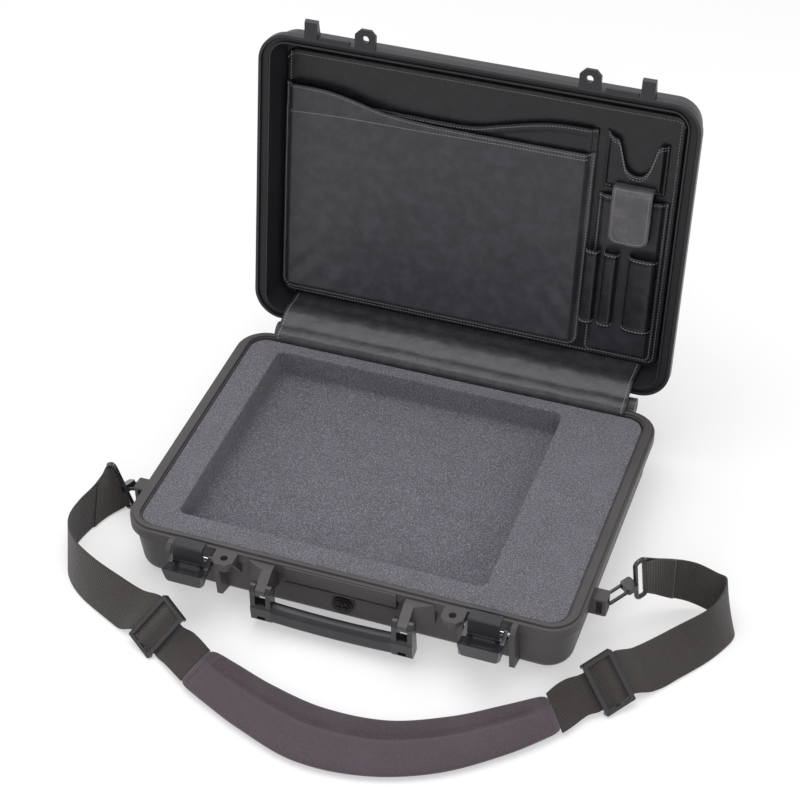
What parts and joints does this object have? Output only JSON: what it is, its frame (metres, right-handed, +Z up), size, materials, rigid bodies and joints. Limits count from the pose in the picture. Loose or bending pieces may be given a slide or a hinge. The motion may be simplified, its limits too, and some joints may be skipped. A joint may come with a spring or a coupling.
{
  "type": "laptop hard case",
  "caption": "Hard-shell laptop case with hinged lid, over-centre latches, carrying handle, foam insert, lid organiser and shoulder strap.",
  "frame": {"origin": "centre of the base shell's bottom face", "axes": "+Z up; +X along the case's length; -Y is the handle and latch side"},
  "size_m": [0.7236, 0.6761, 0.4532],
  "materials": {
    "case_plastic": "fine moulded texture",
    "latch_plastic": "satin",
    "valve_plastic": "satin",
    "slider_plastic": "satin",
    "seal_rubber": "matt",
    "grip_rubber": "satin",
    "steel": "bright",
    "black_metal": "semi-gloss black",
    "foam": "open-cell foam",
    "membrane": "woven",
    "hook_and_loop": "looped pile",
    "leatherette": "glossy grain",
    "webbing": "ribbed weave",
    "pad_fabric": "fine weave"
  },
  "bodies": {
    "base": {"base_shell": "case_plastic", "hinge_pin_left": "steel", "hinge_pin_right": "steel", "latch_pin_left": "steel", "latch_pin_right": "steel", "valve_body": "valve_plastic", "valve_seal": "seal_rubber", "valve_membrane": "membrane", "valve_cap": "valve_plastic", "foam_insert": "foam", "snap_hook_left": "black_metal", "snap_hook_right": "black_metal", "swivel_ring_left": "black_metal", "swivel_ring_right": "black_metal", "strap_webbing_left": "webbing", "strap_webbing_right": "webbing", "strap_slider_left": "slider_plastic", "strap_slider_right": "slider_plastic", "pad_webbing_left": "webbing", "pad_webbing_right": "webbing", "shoulder_pad": "pad_fabric"},
    "lid": {"lid_shell": "case_plastic", "lid_gasket": "seal_rubber", "fixing_patches": "hook_and_loop", "organiser_board": "leatherette", "back_pocket": "leatherette", "document_pocket": "leatherette", "yoke_holder": "leatherette", "column_pocket": "leatherette", "phone_pouch": "leatherette", "pen_loops": "leatherette", "hinge_cover": "leatherette"},
    "latch_left": {"latch_lever_left": "latch_plastic", "latch_link_pin_left": "steel"},
    "latch_right": {"latch_lever_right": "latch_plastic", "latch_link_pin_right": "steel"},
    "hook_left": {"latch_hook_left": "latch_plastic"},
    "hook_right": {"latch_hook_right": "latch_plastic"},
    "handle": {"handle_frame": "case_plastic", "handle_grip": "grip_rubber", "handle_pin_left": "steel", "handle_pin_right": "steel"},
    "phone_flap": {"phone_flap": "leatherette"},
    "gate_left": {"snap_gate_left": "steel"},
    "gate_right": {"snap_gate_right": "steel"}
  },
  "joints": [
    {"name": "lid_hinge", "type": "hinge", "parent": "base", "child": "lid", "pos_m": [0, 0.192, 0.0643], "axis": [-1, 0, 0], "range_deg": [-99.7, 0], "deforming": ["hinge_cover"]},
    {"name": "latch_left_swing", "type": "hinge", "parent": "base", "child": "latch_left", "pos_m": [-0.163, -0.1875, 0.059], "axis": [-1, 0, 0], "range_deg": [-70, 15]},
    {"name": "hook_left_link", "type": "hinge", "parent": "latch_left", "child": "hook_left", "pos_m": [-0.163, -0.19502, 0.05626], "axis": [-1, 0, 0], "range_deg": [-15, 70]},
    {"name": "latch_right_swing", "type": "hinge", "parent": "base", "child": "latch_right", "pos_m": [0.163, -0.1875, 0.059], "axis": [-1, 0, 0], "range_deg": [-70, 15]},
    {"name": "hook_right_link", "type": "hinge", "parent": "latch_right", "child": "hook_right", "pos_m": [0.163, -0.19502, 0.05626], "axis": [-1, 0, 0], "range_deg": [-15, 70]},
    {"name": "handle_swing", "type": "hinge", "parent": "base", "child": "handle", "pos_m": [0, -0.204, 0.052], "axis": [-1, 0, 0], "range_deg": [-8, 95]},
    {"name": "phone_flap_lift", "type": "hinge", "parent": "lid", "child": "phone_flap", "pos_m": [0.183, 0.27156, 0.30838], "axis": [-1, 0, 0], "range_deg": [0, 80]},
    {"name": "gate_left_spring", "type": "hinge", "parent": "base", "child": "gate_left", "pos_m": [-0.2874, -0.09477, 0.03677], "axis": [-0.4613, 0.1964, 0.8653], "range_deg": [0, 15], "stiffness_Nm_per_rad": 0.02, "springref_deg": -11.46},
    {"name": "gate_right_spring", "type": "hinge", "parent": "base", "child": "gate_right", "pos_m": [0.27549, -0.07417, 0.052], "axis": [-0.0701, -0.0974, 0.9928], "range_deg": [0, 15], "stiffness_Nm_per_rad": 0.02, "springref_deg": -11.46}
  ],
  "couplings": [
    {"joint": "hook_left_link", "follows": "latch_left_swing", "ratio": -1},
    {"joint": "hook_right_link", "follows": "latch_right_swing", "ratio": -1}
  ]
}
